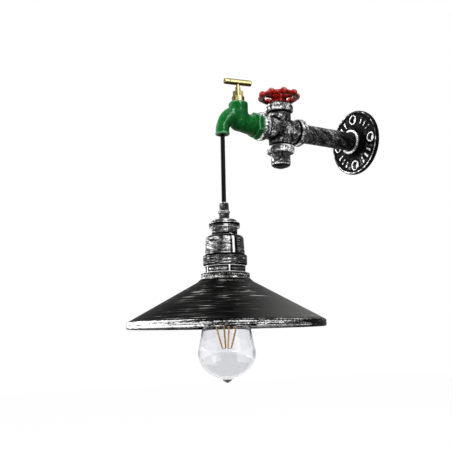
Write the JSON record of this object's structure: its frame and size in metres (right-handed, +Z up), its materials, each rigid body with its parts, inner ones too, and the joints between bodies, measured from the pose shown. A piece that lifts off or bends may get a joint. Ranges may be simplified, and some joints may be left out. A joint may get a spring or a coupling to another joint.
{
  "type": "pendant wall lamp",
  "caption": "Wall lamp of pipe fittings: a flanged pipe and a cross with a hand-wheel, a tap whose spout lets down a flex, and a lampholder with a shallow cone shade and a clear bulb.",
  "frame": {"origin": "centre of the wall flange's back face, on the pipe's axis, so the wall is the plane y = 0", "axes": "+Y points out of the flange's back into the wall and the arm runs along -Y; +Z is up, and the lamp hangs along -Z; +X is to the right for someone who faces the wall"},
  "size_m": [0.2, 0.2892, 0.3202],
  "materials": {
    "black_iron": "black, with bright worn edges",
    "cast_cross": "black, rubbed with silver on its beads",
    "rubbed_steel": "blackened and rubbed",
    "green_paint": "gloss paint on a casting",
    "red_paint": "gloss paint on a casting",
    "polished_brass": "polished",
    "bright_steel": "satin",
    "packing": "greased yarn",
    "black_plastic": "satin",
    "flex_sheath": "satin sheath",
    "cast_holder": "blackened, rubbed bright on its edges",
    "porcelain": "glazed",
    "brushed_black": "black, brushed round with silver",
    "plated_cap": "bright",
    "black_glass": "gloss",
    "clear_glass": "clear",
    "amber_filament": "coated stick"
  },
  "bodies": {
    "arm": {"wall_flange": "black_iron", "arm_pipe": "rubbed_steel", "cross_fitting": "cast_cross", "bottom_nipple": "rubbed_steel", "foot_plug": "black_plastic", "valve_bonnet": "cast_cross", "tap_body": "green_paint", "gland_nut": "polished_brass", "gland_packing": "packing", "cord_bush": "black_plastic", "arm_lead": "flex_sheath"},
    "wheel": {"hand_wheel": "red_paint", "wheel_spindle": "bright_steel", "wheel_nut": "bright_steel", "spindle_clip": "bright_steel"},
    "tap_handle": {"tap_spindle": "polished_brass", "tee_bar": "polished_brass"},
    "cord": {"pendant_cord": "flex_sheath"},
    "lamp_head": {"grip_nut": "rubbed_steel", "grip_body": "rubbed_steel", "holder_lead": "flex_sheath", "holder_cap": "cast_holder", "holder_shell": "cast_holder", "plain_ring": "cast_holder", "lock_ring": "cast_holder", "socket_core": "porcelain", "socket_shell": "polished_brass", "centre_contact": "polished_brass", "shade": "brushed_black", "clamp_ring": "cast_holder"},
    "bulb": {"bulb_cap": "plated_cap", "bulb_insulator": "black_glass", "bulb_contact": "bright_steel", "bulb_glass": "clear_glass", "bulb_stem": "clear_glass", "filaments": "amber_filament", "filament_wires": "bright_steel"}
  },
  "joints": [
    {"name": "wheel_turn", "type": "hinge", "parent": "arm", "child": "wheel", "pos_m": [0, -0.114, 0.032], "axis": [0, 0, 1], "continuous": true},
    {"name": "tap_turn", "type": "hinge", "parent": "arm", "child": "tap_handle", "pos_m": [0, -0.1686, 0.03], "axis": [0, 0, 1], "continuous": true},
    {"name": "cord_swing", "type": "hinge", "parent": "arm", "child": "cord", "pos_m": [0, -0.1892, -0.0159], "axis": [1, 0, 0], "range_deg": [-25, 25], "deforming": ["pendant_cord"]},
    {"name": "head_swing", "type": "hinge", "parent": "cord", "child": "lamp_head", "pos_m": [0, -0.1892, -0.0893], "axis": [0, 1, 0], "range_deg": [-25, 25]},
    {"name": "bulb_turn", "type": "hinge", "parent": "lamp_head", "child": "bulb", "pos_m": [0, -0.1892, -0.15], "axis": [0, 0, 1], "range_deg": [0, 1800]}
  ]
}
